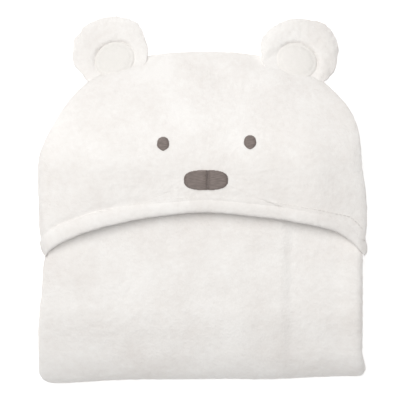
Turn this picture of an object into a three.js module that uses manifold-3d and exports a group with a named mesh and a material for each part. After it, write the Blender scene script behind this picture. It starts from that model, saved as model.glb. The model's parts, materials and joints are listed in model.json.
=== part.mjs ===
// Hooded baby towel, folded for the shelf. A plush sheet has its two sides folded in behind and is
// then rolled flat into a bundle. A hood in the shape of a bear's head is sewn to the sheet's top
// edge and lies over the bundle, and two padded ears are caught in the hood's seam.
//
// Millimetres, +Z up. The towel lies on its back. +Y points from the bottom fold to the ears, and
// the origin is the middle of the footprint, on the surface that the towel lies on. Until the last
// lines, y is measured from the outside of the bottom fold.

import * as THREE from 'three';
import { mergeVertices } from 'three/addons/utils/BufferGeometryUtils.js';
import Module from 'manifold-3d';

const wasm = await Module();
wasm.setup();

// ---- Cloth -----------------------------------------------------------------------------------
const PLY = 4.0; // one ply of the folded sheet
const PLY_GAP = 0.3; // between two plies of one section
const PLIES = 3; // the sheet's middle, with its left and right sides folded in behind it
const PIECE_GAP = 0.4; // between two pieces that lie on each other
const HOOD_PLY = 6.0; // the face panel, which nothing presses flat

// ---- Bundle ----------------------------------------------------------------------------------
const BUNDLE_WIDTH = 303;
const BUNDLE_LENGTH = 226; // bottom fold to top fold
const BOTTOM_CORNER = 13; // radius of the two corners at the bottom fold, seen from above
const TOP_CORNER = 27; // and of the two under the hood
const NECK_FOLD = 88; // where the hood folds up, from the bottom fold
const NECK_SEAM = 172; // the sheet's top edge, where the hood is sewn on
const TAIL_SHORT = 20; // the sheet's free end stops this far before the top fold's centre

// ---- Hood ------------------------------------------------------------------------------------
const HEAD_HALF_WIDTH = 154;
const HEAD_WIDEST = 151.5; // height of the widest place
const HEAD_RISE = 153.5; // from the widest place to the crown
const HEAD_POWER = 2.6; // 2 is an ellipse, and more is squarer
const MOUTH_CORNER = 112.5; // the hood's two lower corners
const MOUTH_HALF_WIDTH = 147;
const MOUTH_RISE = 41.3; // the opening's arch above its corners
const MOUTH_POWER = 1.62;
const HEM_WIDTH = 15; // the turned hem along the opening
const HEM_THICK = 8.5;
const SEAM_WIDTH = 9; // the allowance turned in where the two panels are sewn together
const POCKET_HEIGHT = 8.0; // the opening, between the sheet and the face panel
const CROWN_FLOOR = 5; // top of the back panel at the crown, near the table
const CROWN_POCKET = 5.5; // what is left of the pocket there

// ---- Embroidery ------------------------------------------------------------------------------
const EYE_WIDTH = 11.6;
const EYE_HEIGHT = 12.8;
const EYE_SPACING = 80.4;
const EYE_Y = 218.3;
const NOSE_WIDTH = 41;
const NOSE_HEIGHT = 18.3;
const NOSE_POWER = 2.8;
const NOSE_Y = 183.9;
const THREAD_THICK = 1.2; // a filled patch of satin stitch
const STITCH_RADIUS = 0.6; // the row of stitches that holds the hem

// ---- Ears ------------------------------------------------------------------------------------
const EAR_X = 83; // the middle of an ear's base
const EAR_BASE = 53; // the base's length, measured along X
const EAR_HALF_WIDTH = 34.5;
const EAR_HALF_HEIGHT = 32.5;
const EAR_CENTRE = 15; // the ear's middle beyond the fold line at its base
const EAR_REST = 0.6; // under the ear's outer end, above the table
const EAR_PLY = 2.8;
const EAR_WADDING = 4.4;
const EAR_LINING_PLY = 1.6;
const EAR_LAYER_GAP = 0.3;
const EAR_SEAM = 4; // the wadding stops this far inside the outline
const LINING_HALF_WIDTH = 19;
const LINING_HALF_HEIGHT = 17;
const LINING_CENTRE = 9.5; // the round lining's middle beyond the fold line
const EAR_CLEARANCE = 1.2; // between an ear and the hood's edge
const EAR_POWER = 2.1; // squareness of the outline

// ---- Levels that follow from those -----------------------------------------------------------
const SECTION = PLIES * PLY + (PLIES - 1) * PLY_GAP; // one folded section of the sheet
const LEVEL = SECTION + PIECE_GAP;
const BACK_Z = 0;
const TAIL_Z = LEVEL;
const INNER_Z = 2 * LEVEL;
const FRONT_Z = 3 * LEVEL;
const BUNDLE_TOP = FRONT_Z + SECTION;
const BOTTOM_RADIUS = BUNDLE_TOP / 2; // outside of the bottom fold
const BOTTOM_Y = BOTTOM_RADIUS; // centre of the bottom fold
const TOP_RADIUS = (INNER_Z + SECTION) / 2; // outside of the top fold, which the hood hides
const TOP_Y = BUNDLE_LENGTH - TOP_RADIUS;
const CEILING = BUNDLE_TOP + POCKET_HEIGHT; // underside of the face panel over the opening
const EAR_LAYERS = EAR_LINING_PLY + 2 * EAR_PLY + EAR_WADDING;
const EAR_THICK = EAR_LAYERS + 3 * EAR_LAYER_GAP;
const REACH = 400; // further than any piece, for solids that only cut

// ---- Solids ----------------------------------------------------------------------------------
const SIDE_VIEW = new THREE.Matrix4().makeBasis(
  new THREE.Vector3(0, 1, 0),
  new THREE.Vector3(0, 0, 1),
  new THREE.Vector3(1, 0, 0),
);

function solidOf(geometry) {
  const bare = geometry.clone();
  bare.deleteAttribute('normal');
  bare.deleteAttribute('uv');
  const merged = mergeVertices(bare, 1e-4);
  return new wasm.Manifold(
    new wasm.Mesh({
      numProp: 3,
      vertProperties: merged.attributes.position.array,
      triVerts: new Uint32Array(merged.index.array),
    }),
  );
}

function geometryOf(solid) {
  const mesh = solid.getMesh();
  const geometry = new THREE.BufferGeometry();
  geometry.setAttribute('position', new THREE.BufferAttribute(mesh.vertProperties, 3));
  geometry.setIndex(new THREE.BufferAttribute(mesh.triVerts, 1));
  geometry.computeVertexNormals();
  return geometry;
}

// A shape drawn in the side view, as (y, z), pulled out to a width about x = 0.
function fromSideView(shape, width) {
  const geometry = new THREE.ExtrudeGeometry(shape, {
    depth: width,
    curveSegments: 14,
    bevelEnabled: false,
  });
  geometry.translate(0, 0, -width / 2);
  return solidOf(geometry.applyMatrix4(SIDE_VIEW));
}

// A shape drawn from above, as (x, y), that cuts everything over and under it.
function fromAbove(shape) {
  const geometry = new THREE.ExtrudeGeometry(shape, {
    depth: 2 * REACH,
    curveSegments: 10,
    bevelEnabled: false,
  });
  return solidOf(geometry.translate(0, 0, -REACH));
}

// A flat layer with a rounded edge, lying on z = low in its own frame.
function flatLayer(shape, low, thick) {
  const edge = thick * 0.3;
  const geometry = new THREE.ExtrudeGeometry(shape, {
    depth: thick - 2 * edge,
    curveSegments: 24,
    bevelThickness: edge,
    bevelSize: edge,
    bevelOffset: -edge,
    bevelSegments: 2,
  });
  return geometry.translate(0, 0, low + edge);
}

// ---- Outlines seen from above ----------------------------------------------------------------
function superellipse(halfWidth, halfHeight, power, angle) {
  const c = Math.cos(angle);
  const s = Math.sin(angle);
  return new THREE.Vector2(
    Math.sign(c) * halfWidth * Math.abs(c) ** (2 / power),
    Math.sign(s) * halfHeight * Math.abs(s) ** (2 / power),
  );
}

function patch(x, y, width, height, power) {
  const points = [];
  const steps = 40;
  for (let i = 0; i < steps; i++) {
    const point = superellipse(width / 2, height / 2, power, (2 * Math.PI * i) / steps);
    points.push(point.add(new THREE.Vector2(x, y)));
  }
  return new THREE.Shape(points);
}

// The height of the head's outline over a place on the X axis.
function headEdge(x) {
  const share = Math.abs(x / HEAD_HALF_WIDTH) ** HEAD_POWER;
  return HEAD_WIDEST + HEAD_RISE * (1 - share) ** (1 / HEAD_POWER);
}

// The bear's head, made smaller all round by inset. A negative inset makes it larger.
function head(inset) {
  const side = HEAD_HALF_WIDTH - inset;
  const corner = MOUTH_HALF_WIDTH + 1 - inset;
  const steps = 56;
  const shape = new THREE.Shape();
  shape.moveTo(corner, MOUTH_CORNER);
  shape.quadraticCurveTo(side, (MOUTH_CORNER + HEAD_WIDEST) / 2, side, HEAD_WIDEST);
  for (let i = 1; i < steps; i++) {
    const point = superellipse(side, HEAD_RISE - inset, HEAD_POWER, (Math.PI * i) / steps);
    shape.lineTo(point.x, HEAD_WIDEST + point.y);
  }
  shape.lineTo(-side, HEAD_WIDEST);
  shape.quadraticCurveTo(-side, (MOUTH_CORNER + HEAD_WIDEST) / 2, -corner, MOUTH_CORNER);
  return shape;
}

// Everything below the opening's arch, raised by lift.
function belowMouth(lift) {
  const base = MOUTH_CORNER + lift;
  const steps = 40;
  const shape = new THREE.Shape();
  shape.moveTo(REACH, -REACH);
  shape.lineTo(REACH, base);
  for (let i = 0; i <= steps; i++) {
    const point = superellipse(MOUTH_HALF_WIDTH, MOUTH_RISE, MOUTH_POWER, (Math.PI * i) / steps);
    shape.lineTo(point.x, base + point.y);
  }
  shape.lineTo(-REACH, base);
  shape.lineTo(-REACH, -REACH);
  return shape;
}

function bundleOutline() {
  const side = BUNDLE_WIDTH / 2;
  const top = BUNDLE_LENGTH - TOP_CORNER;
  const shape = new THREE.Shape();
  shape.absarc(side - TOP_CORNER, top, TOP_CORNER, 0, Math.PI / 2);
  shape.absarc(TOP_CORNER - side, top, TOP_CORNER, Math.PI / 2, Math.PI);
  shape.absarc(BOTTOM_CORNER - side, BOTTOM_CORNER, BOTTOM_CORNER, Math.PI, 1.5 * Math.PI);
  shape.absarc(side - BOTTOM_CORNER, BOTTOM_CORNER, BOTTOM_CORNER, 1.5 * Math.PI, 2 * Math.PI);
  return shape;
}

// ---- Side views of the rolled sheet ----------------------------------------------------------
// Half of the bottom fold and the flat section that runs on from it. up is 1 over the fold's
// centre and -1 under it.
function bottomFoldAndSection(up, end) {
  const inside = BOTTOM_RADIUS - SECTION;
  const z = (offset) => BOTTOM_RADIUS + up * offset;
  const gapAngle = PIECE_GAP / 2 / BOTTOM_RADIUS;
  const steps = 12;
  const points = [new THREE.Vector2(end, z(BOTTOM_RADIUS))];
  for (const [radius, from, to] of [
    [BOTTOM_RADIUS, Math.PI / 2, Math.PI - gapAngle],
    [inside, Math.PI - gapAngle * (BOTTOM_RADIUS / inside), Math.PI / 2],
  ]) {
    for (let i = 0; i <= steps; i++) {
      const angle = THREE.MathUtils.lerp(from, to, i / steps);
      points.push(
        new THREE.Vector2(BOTTOM_Y + radius * Math.cos(angle), z(radius * Math.sin(angle))),
      );
    }
  }
  points.push(new THREE.Vector2(end, z(inside)));
  return new THREE.Shape(points);
}

// The top fold, and the section that comes back from it over the tail.
function topFoldAndSection() {
  const start = BOTTOM_Y + PIECE_GAP;
  const shape = new THREE.Shape();
  shape.moveTo(start, INNER_Z + SECTION);
  shape.lineTo(TOP_Y, INNER_Z + SECTION);
  shape.absarc(TOP_Y, TOP_RADIUS, TOP_RADIUS, Math.PI / 2, -Math.PI / 2, true);
  shape.lineTo(TOP_Y, BACK_Z + SECTION);
  shape.absarc(TOP_Y, TOP_RADIUS, TOP_RADIUS - SECTION, -Math.PI / 2, Math.PI / 2, false);
  shape.lineTo(start, INNER_Z);
  return shape;
}

// The sheet's last section, with the fold at the heart of the roll.
function tailAndFold() {
  const middle = (TAIL_Z + INNER_Z + SECTION) / 2;
  const radius = middle - TAIL_Z;
  const end = TOP_Y - TAIL_SHORT;
  const shape = new THREE.Shape();
  shape.moveTo(end, TAIL_Z);
  shape.lineTo(BOTTOM_Y, TAIL_Z);
  shape.absarc(BOTTOM_Y, middle, radius, -Math.PI / 2, -1.5 * Math.PI, true);
  shape.lineTo(BOTTOM_Y, TAIL_Z + SECTION);
  shape.lineTo(end, TAIL_Z + SECTION);
  return shape;
}

function slab(from, to, low) {
  const shape = new THREE.Shape();
  shape.moveTo(from, low);
  shape.lineTo(to, low);
  shape.lineTo(to, low + SECTION);
  shape.lineTo(from, low + SECTION);
  return shape;
}

// ---- Side views of the hood ------------------------------------------------------------------
// The hood lies level on the bundle, drops over its top fold and comes to rest near the table.
const CROWN = HEAD_WIDEST + HEAD_RISE;
const DROP_START = TOP_Y; // where the hood leaves the bundle and drops

function smooth(value, from, to) {
  return THREE.MathUtils.smoothstep(value, from, to);
}

// Top of the pocket's floor: the sheet as far as the neck seam, and then the back panel.
function floorHeight(y) {
  const onBundle = INNER_Z + SECTION + PIECE_GAP + PLY;
  const seamStep = (BUNDLE_TOP - onBundle) * (1 - smooth(y, NECK_SEAM, NECK_SEAM + 22));
  const drop = (onBundle - CROWN_FLOOR) * smooth(y, DROP_START, CROWN + 4);
  return onBundle + seamStep - drop;
}

// Underside of the face panel.
function ceilingHeight(y) {
  const drop = (CEILING - CROWN_FLOOR - CROWN_POCKET) * smooth(y, DROP_START - 16, CROWN + 6);
  return CEILING - drop;
}

// The space between two heights that vary with y.
function between(lower, upper, from, to) {
  const steps = 30;
  const points = [];
  for (let i = 0; i <= steps; i++) {
    const y = THREE.MathUtils.lerp(from, to, i / steps);
    points.push(new THREE.Vector2(y, lower(y)));
  }
  for (let i = steps; i >= 0; i--) {
    const y = THREE.MathUtils.lerp(from, to, i / steps);
    points.push(new THREE.Vector2(y, upper(y)));
  }
  return fromSideView(new THREE.Shape(points), 2 * HEAD_HALF_WIDTH + 20);
}

// A layer that follows the face panel, between two distances from its underside.
function overFace(low, high, from = MOUTH_CORNER - 5, to = CROWN + 10) {
  return between((y) => ceilingHeight(y) + low, (y) => ceilingHeight(y) + high, from, to);
}

// ---- Materials -------------------------------------------------------------------------------
function cloth(name, colour, roughness) {
  return new THREE.MeshStandardMaterial({ name, color: colour, roughness, metalness: 0 });
}

const plush = cloth('plush', 0xf4f1ed, 0.95);
const lining = cloth('ear_lining', 0xf6f3ef, 0.95);
const wadding = cloth('wadding', 0xfbfaf8, 1.0);
const embroidery = cloth('embroidery', 0x766b68, 0.6);
const thread = cloth('sewing_thread', 0xf2eee9, 0.7);

// ---- Assembly --------------------------------------------------------------------------------
const towel = new THREE.Group();
towel.name = 'hooded_towel';

function addPiece(parent, name, solid, material) {
  const mesh = new THREE.Mesh(geometryOf(solid), material);
  mesh.name = name;
  parent.add(mesh);
  return mesh;
}

function addBundle() {
  const outline = fromAbove(bundleOutline());
  const section = (shape) => fromSideView(shape, BUNDLE_WIDTH).intersect(outline);
  const upperEnd = NECK_FOLD - PIECE_GAP / 2;
  const backEnd = TOP_Y - PIECE_GAP;
  addPiece(towel, 'back_section', section(bottomFoldAndSection(-1, backEnd)), plush);
  addPiece(towel, 'tail_section', section(tailAndFold()), plush);
  addPiece(towel, 'inner_section', section(topFoldAndSection()), plush);
  addPiece(towel, 'front_section', section(bottomFoldAndSection(1, upperEnd)), plush);
  const neck = slab(NECK_FOLD + PIECE_GAP / 2, NECK_SEAM, FRONT_Z);
  addPiece(towel, 'neck_section', section(neck), plush);
}

function addHood() {
  const whole = fromAbove(head(0));
  const aroundMouth = whole.subtract(fromAbove(belowMouth(0)));
  const facePlan = aroundMouth.subtract(fromAbove(belowMouth(HEM_WIDTH + PIECE_GAP)));
  const hemPlan = aroundMouth.intersect(fromAbove(belowMouth(HEM_WIDTH)));
  const seamPlan = facePlan.subtract(fromAbove(head(SEAM_WIDTH)));

  const back = between(
    (y) => floorHeight(y) - PLY,
    floorHeight,
    NECK_SEAM + PIECE_GAP,
    CROWN + 10,
  );
  const seam = between(
    (y) => floorHeight(y) + PIECE_GAP,
    (y) => ceilingHeight(y) - PIECE_GAP,
    MOUTH_CORNER + HEM_WIDTH,
    CROWN + 10,
  );
  const hemLow = (HOOD_PLY - HEM_THICK) / 2;
  const hem = overFace(hemLow, hemLow + HEM_THICK);
  addPiece(towel, 'hood_back_panel', back.intersect(whole), plush);
  addPiece(towel, 'hood_edge_seam', seam.intersect(seamPlan), plush);
  addPiece(towel, 'hood_face_panel', overFace(0, HOOD_PLY).intersect(facePlan), plush);
  addPiece(towel, 'hood_hem', hem.intersect(hemPlan), plush);
  addPiece(towel, 'hem_stitching', hemStitching(hemLow + HEM_THICK), thread);
}

// A row of stitches near the hem's upper edge, made as one thread along the arch.
function hemStitching(above) {
  const points = [];
  const steps = 16;
  const inset = 0.08 * Math.PI;
  for (let i = 0; i <= steps; i++) {
    const angle = THREE.MathUtils.lerp(Math.PI - inset, inset, i / steps);
    const point = superellipse(MOUTH_HALF_WIDTH, MOUTH_RISE, MOUTH_POWER, angle);
    const y = MOUTH_CORNER + point.y + HEM_WIDTH - 2.5;
    const z = ceilingHeight(y) + above + STITCH_RADIUS + PIECE_GAP;
    points.push(new THREE.Vector3(point.x, y, z));
  }
  const round = new THREE.Shape();
  round.absarc(0, 0, STITCH_RADIUS, 0, 2 * Math.PI);
  const geometry = new THREE.ExtrudeGeometry(round, {
    steps: 64,
    curveSegments: 4,
    extrudePath: new THREE.CatmullRomCurve3(points),
  });
  return solidOf(geometry);
}

function addFace() {
  const low = HOOD_PLY + PIECE_GAP;
  for (const [name, side] of [['eye_left', -1], ['eye_right', 1]]) {
    const shape = patch((side * EYE_SPACING) / 2, EYE_Y, EYE_WIDTH, EYE_HEIGHT, 2);
    const layer = overFace(low, low + THREAD_THICK, EYE_Y - EYE_HEIGHT, EYE_Y + EYE_HEIGHT);
    addPiece(towel, name, layer.intersect(fromAbove(shape)), embroidery);
  }
  const nose = patch(0, NOSE_Y, NOSE_WIDTH, NOSE_HEIGHT, NOSE_POWER);
  const layer = overFace(low, low + THREAD_THICK, NOSE_Y - NOSE_HEIGHT, NOSE_Y + NOSE_HEIGHT);
  addPiece(towel, 'nose', layer.intersect(fromAbove(nose)), embroidery);
}

// An ear stands in its own frame: X runs along the fold line at its base, level with the top of
// the hood's edge, Y runs outwards, and z = 0 is the top of the ear. The ear leans down from the
// fold line until its outer end is at the table.
function earFrame(side) {
  const end = (x) => new THREE.Vector3(x, headEdge(x), 0);
  const left = end(side * EAR_X - EAR_BASE / 2);
  const right = end(side * EAR_X + EAR_BASE / 2);
  const along = right.clone().sub(left).normalize();
  const outward = new THREE.Vector3(-along.y, along.x, 0);
  const middle = left.add(right).multiplyScalar(0.5);
  middle.z = ceilingHeight(middle.y) + HOOD_PLY;
  const reach = EAR_CENTRE + EAR_HALF_HEIGHT;
  const fall = (middle.z - EAR_REST) / Math.hypot(reach, EAR_THICK);
  const tilt = Math.asin(fall) - Math.atan2(EAR_THICK, reach);
  return new THREE.Matrix4()
    .makeBasis(along, outward, new THREE.Vector3(0, 0, 1))
    .setPosition(middle)
    .multiply(new THREE.Matrix4().makeRotationX(-tilt));
}

function addEar(side, name) {
  const frame = earFrame(side);
  const ear = new THREE.Group();
  frame.decompose(ear.position, ear.quaternion, ear.scale);
  towel.add(ear);
  const hood = fromAbove(head(-EAR_CLEARANCE));
  const back = frame.clone().invert();
  const addLayer = (part, shape, low, thick, material) => {
    const placed = solidOf(flatLayer(shape, low, thick).applyMatrix4(frame));
    const trimmed = geometryOf(placed.subtract(hood)).applyMatrix4(back);
    addPiece(ear, name + part, solidOf(trimmed), material);
  };
  const outline = (inset) => {
    const width = 2 * (EAR_HALF_WIDTH - inset);
    return patch(0, EAR_CENTRE, width, 2 * (EAR_HALF_HEIGHT - inset), EAR_POWER);
  };
  const disc = patch(0, LINING_CENTRE, 2 * LINING_HALF_WIDTH, 2 * LINING_HALF_HEIGHT, 2);
  const liningLow = -EAR_LINING_PLY;
  const frontLow = liningLow - EAR_LAYER_GAP - EAR_PLY;
  const waddingLow = frontLow - EAR_LAYER_GAP - EAR_WADDING;
  const backLow = waddingLow - EAR_LAYER_GAP - EAR_PLY;
  addLayer('_lining', disc, liningLow, EAR_LINING_PLY, lining);
  addLayer('_front', outline(0), frontLow, EAR_PLY, plush);
  addLayer('_wadding', outline(EAR_SEAM), waddingLow, EAR_WADDING, wadding);
  addLayer('_back', outline(0), backLow, EAR_PLY, plush);
}

addBundle();
addHood();
addFace();
addEar(-1, 'ear_left');
addEar(1, 'ear_right');

// The footprint's middle goes to the origin.
const footprint = new THREE.Box3().setFromObject(towel, true);
towel.position.y = -(footprint.min.y + footprint.max.y) / 2;

export default towel;
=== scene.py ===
# %% [markdown]
# # A folded baby towel with a bear's head for a hood
# The real object is one plush cloth. Its two sides are folded in behind, then it is rolled flat
# into a bundle, and a hood in the shape of a bear's head is sewn to its top edge and lies over the
# bundle. This file builds what the eye sees of it around the parts of the frame: the folded sheet
# with its plies, the hood with its hem and its embroidered face, and the two padded ears.

# %% Load the frame
import json
import math

import bpy
import numpy as np
from mathutils import Matrix, Vector, noise


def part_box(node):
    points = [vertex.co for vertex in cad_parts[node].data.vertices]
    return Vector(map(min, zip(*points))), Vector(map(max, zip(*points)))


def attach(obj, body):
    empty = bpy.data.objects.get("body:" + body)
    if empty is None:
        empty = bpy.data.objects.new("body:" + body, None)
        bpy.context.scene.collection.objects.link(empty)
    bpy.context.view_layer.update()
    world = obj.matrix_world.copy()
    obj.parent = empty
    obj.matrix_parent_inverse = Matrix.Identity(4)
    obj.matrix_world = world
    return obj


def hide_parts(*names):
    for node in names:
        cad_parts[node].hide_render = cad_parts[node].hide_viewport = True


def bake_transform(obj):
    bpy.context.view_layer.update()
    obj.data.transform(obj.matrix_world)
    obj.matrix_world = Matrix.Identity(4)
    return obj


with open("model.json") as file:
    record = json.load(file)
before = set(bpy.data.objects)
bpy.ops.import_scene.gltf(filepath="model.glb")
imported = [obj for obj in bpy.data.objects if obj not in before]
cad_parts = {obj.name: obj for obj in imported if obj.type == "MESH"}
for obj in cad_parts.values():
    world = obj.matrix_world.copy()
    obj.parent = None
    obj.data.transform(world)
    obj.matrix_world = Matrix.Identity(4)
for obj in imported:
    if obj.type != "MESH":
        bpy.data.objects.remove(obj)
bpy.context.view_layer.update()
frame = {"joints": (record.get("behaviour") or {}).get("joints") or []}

# %% [markdown]
# ## Sizes
# Cloth is easiest to think about in millimetres, so every size below is in millimetres, and y is
# measured from the outside of the bottom fold. The sizes are read from the boxes of the frame's
# pieces, so that each sheet lands where the frame has it.

# %% Read the bundle's sizes
MM = 0.001
FOLD_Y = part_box("front_section")[0][1]


def box_mm(node):
    """A node's lowest and highest corners in millimetres, with y from the bottom fold."""
    low, high = (np.array(corner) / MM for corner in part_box(node))
    low[1] -= FOLD_Y / MM
    high[1] -= FOLD_Y / MM
    return low, high


front_high = box_mm("front_section")[1]
neck_low, neck_high = box_mm("neck_section")
inner_high = box_mm("inner_section")[1]
tail_low, tail_high = box_mm("tail_section")
HALF_WIDTH = front_high[0]
BUNDLE_TOP = front_high[2]
SECTION = neck_high[2] - neck_low[2]
NECK_SEAM = neck_high[1]
BOTTOM_RADIUS = BUNDLE_TOP / 2
TOP_RADIUS = inner_high[2] / 2
TOP_Y = inner_high[1] - TOP_RADIUS
TAIL_END = tail_high[1]
TAIL_Z = tail_low[2]
print(f"bundle {2 * HALF_WIDTH:.0f} mm wide and {BUNDLE_TOP:.0f} mm high, folded {SECTION:.1f} mm thick")

# %% Read the hood's sizes
face_high = box_mm("hood_face_panel")[1]
hem_low = box_mm("hood_hem")[0]
back_low = box_mm("hood_back_panel")[0]
HEAD_HALF_WIDTH = face_high[0]
HEAD_RISE = 155.2
HEAD_POWER = 2.6
CROWN = face_high[1]
HEAD_WIDEST = CROWN - HEAD_RISE
MOUTH_CORNER = hem_low[1]
MOUTH_HALF_WIDTH = 147.0
MOUTH_RISE = 41.3
MOUTH_POWER = 1.62
HEM_WIDTH = 15.0
FACE_PLY = 6.0
CEILING = face_high[2] - FACE_PLY
print(f"hood {2 * HEAD_HALF_WIDTH:.0f} mm wide, mouth corners at {MOUTH_CORNER:.0f}, crown at {CROWN:.0f}")

# %% [markdown]
# ## Small helpers
# An operator acts on everything that is selected, so each helper deselects first. A modifier is
# always applied at once, which leaves a plain mesh that can be measured and bent later.

# %% Helpers for meshes
SAME_POINT = 0.02


def only(piece):
    """Makes one object the selected and active one."""
    bpy.ops.object.select_all(action="DESELECT")
    piece.select_set(True)
    bpy.context.view_layer.objects.active = piece


def use(piece, kind, **settings):
    """Adds a modifier with its settings and applies it."""
    only(piece)
    modifier = piece.modifiers.new(kind.lower(), kind)
    for key, value in settings.items():
        setattr(modifier, key, value)
    bpy.ops.object.modifier_apply(modifier=modifier.name)


def open_mesh(piece, kind="VERT"):
    """Opens a piece for editing, with nothing selected."""
    only(piece)
    bpy.ops.object.mode_set(mode="EDIT")
    bpy.ops.mesh.select_mode(type=kind)
    bpy.ops.mesh.select_all(action="DESELECT")


def close_mesh():
    """Turns all faces outward and closes the piece."""
    bpy.ops.mesh.select_all(action="SELECT")
    bpy.ops.mesh.normals_make_consistent(inside=False)
    bpy.ops.object.mode_set(mode="OBJECT")


def rename(piece, name):
    """Gives a piece and its mesh one name."""
    piece.name = name
    piece.data.name = name


def coordinates(piece):
    """A piece's points as an array."""
    values = np.empty(3 * len(piece.data.vertices))
    piece.data.vertices.foreach_get("co", values)
    return values.reshape(-1, 3)


def place_points(piece, points):
    """Puts a piece's points at new places."""
    piece.data.vertices.foreach_set("co", points.ravel())


def to_frame(points):
    """Millimetres with y from the bottom fold, as metres in the frame."""
    return np.asarray(points, float) * MM + np.array([0.0, FOLD_Y, 0.0])


def grid_sheet(name, points, closed=False):
    """A grid primitive laid on an array of points, rows by columns, in millimetres."""
    rows, columns = points.shape[:2]
    bpy.ops.object.select_all(action="DESELECT")
    bpy.ops.mesh.primitive_grid_add(x_subdivisions=columns - 1, y_subdivisions=rows - 1, size=1)
    piece = bpy.context.object
    rename(piece, name)
    place_points(piece, to_frame(points))
    if closed:
        open_mesh(piece)
        bpy.ops.mesh.select_all(action="SELECT")
        bpy.ops.mesh.remove_doubles(threshold=SAME_POINT * MM)
        close_mesh()
    piece.data.update()
    return piece


def smooth_step(value, start, end):
    """0 before start, 1 after end, and an even change between."""
    t = np.clip((np.asarray(value, float) - start) / (end - start), 0, 1)
    return t * t * (3 - 2 * t)


def squarish(values, power):
    """A power that keeps the sign. Used on a circle's cosine and sine, it makes it squarish."""
    return np.sign(values) * np.abs(values) ** power


def bell(value, middle, width):
    """1 at the middle, and falling off evenly on both sides."""
    return np.exp(-(((value - middle) / width) ** 2))


def triangles(piece):
    """How many triangles a piece has."""
    return sum(len(polygon.vertices) - 2 for polygon in piece.data.polygons)


# %% [markdown]
# ## Camera, floor and light
# The towel is looked at from straight above, with its ears away from us. A long lens from far off
# keeps the bundle and the hood, which lie at different heights, at nearly one scale. The light is
# a large soft box almost overhead, a weak one lower at the upper left, which models the ears and
# the hem, and an even surrounding. The table glows a little, so it stays white round the towel.

# %% Camera
VIEW_WIDTH = 372.0
CAMERA_HEIGHT = 3500.0
LENS = 300.0
AIM = Vector((-4.2, 165.5, 46.0))
camera_data = bpy.data.cameras.new("camera")
camera_data.lens = LENS
camera_data.sensor_width = LENS * VIEW_WIDTH / CAMERA_HEIGHT
camera_data.clip_end = 20.0
camera = bpy.data.objects.new("camera", camera_data)
camera.location = to_frame((AIM.x, AIM.y, AIM.z + CAMERA_HEIGHT))
bpy.context.scene.collection.objects.link(camera)
bpy.context.scene.camera = camera
print(f"camera {CAMERA_HEIGHT / 1000:.1f} m over the towel, {VIEW_WIDTH:.0f} mm across the picture")


# %% Colours and nodes
def colour(hex_code):
    """An sRGB hex colour as linear red, green, blue and alpha."""
    channels = [int(hex_code[i : i + 2], 16) / 255 for i in (1, 3, 5)]
    linear = [c / 12.92 if c <= 0.04045 else ((c + 0.055) / 1.055) ** 2.4 for c in channels]
    return (*linear, 1.0)


def add_node(tree, kind, settings=None, **inputs):
    """Adds a node. settings are its properties, and inputs its sockets: a value, or a link."""
    node = tree.nodes.new(kind)
    for key, value in (settings or {}).items():
        setattr(node, key, value)
    for key, value in inputs.items():
        socket = node.inputs[key.replace("_", " ")]
        if isinstance(value, bpy.types.NodeSocket):
            tree.links.new(value, socket)
        else:
            socket.default_value = value
    return node


def two_tones(tree, factor, dark, light):
    """A colour between a dark and a light tone."""
    mix = add_node(tree, "ShaderNodeMix", {"data_type": "RGBA"})
    tree.links.new(factor, mix.inputs["Factor"])
    mix.inputs[6].default_value = colour(dark)
    mix.inputs[7].default_value = colour(light)
    return mix.outputs[2]


def new_material(name):
    """An empty material with its output node."""
    material = bpy.data.materials.new(name)
    material.use_nodes = True
    material.node_tree.nodes.clear()
    output = material.node_tree.nodes.new("ShaderNodeOutputMaterial")
    return material, material.node_tree, output


# %% Floor and light
FLOOR_SIZE = 24.0
FLOOR_GLOW = 0.42
SURROUNDING = 0.24
bpy.ops.object.select_all(action="DESELECT")
bpy.ops.mesh.primitive_plane_add(size=FLOOR_SIZE, location=(0, 0, -0.0002))
floor = bpy.context.object
floor.name = "studio_floor"
# A matt acrylic table lit from below: it has no gloss, and shadows on it are faint and soft.
table, tree, output = new_material("lit_acrylic_table")
shade = add_node(tree, "ShaderNodeBsdfPrincipled", Base_Color=colour("#f6f6f6"), Roughness=0.9)
shade.inputs["Emission Color"].default_value = colour("#ffffff")
shade.inputs["Emission Strength"].default_value = FLOOR_GLOW
tree.links.new(shade.outputs[0], output.inputs["Surface"])
floor.data.materials.append(table)


def add_soft_box(name, place, size, power, tint):
    """A square area light that looks at the towel."""
    data = bpy.data.lights.new(name, "AREA")
    data.size = size
    data.energy = power
    data.color = colour(tint)[:3]
    light = bpy.data.objects.new(name, data)
    light.location = place
    light.rotation_euler = (Vector(place) * -1).to_track_quat("-Z", "Y").to_euler()
    bpy.context.scene.collection.objects.link(light)


add_soft_box("key_light", place=(-0.4, 0.5, 2.4), size=2.2, power=55, tint="#fffefc")
add_soft_box("side_light", place=(-1.1, 1.5, 1.5), size=1.2, power=4, tint="#fffefc")
world = bpy.data.worlds.new("studio")
world.use_nodes = True
background = world.node_tree.nodes["Background"]
background.inputs["Color"].default_value = colour("#ffffff")
background.inputs["Strength"].default_value = SURROUNDING
bpy.context.scene.world = world
bpy.context.scene.view_settings.view_transform = "Standard"
print("two soft boxes over a pale table")

# %% [markdown]
# ## The plush and the other finishes
# Baby towels of this kind are coral fleece: a knitted polyester cloth with a dense soft pile
# 3 mm long. It has no gloss. The pile stands up in tufts a few millimetres across, which catch
# the light on one side, and the tips of the fibres glow at grazing angles, which is sheen. The
# tufts themselves are raised in the mesh further on; the material adds the finer fibres.


# %% The plush material
CLOUD_MM = 45.0


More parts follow.
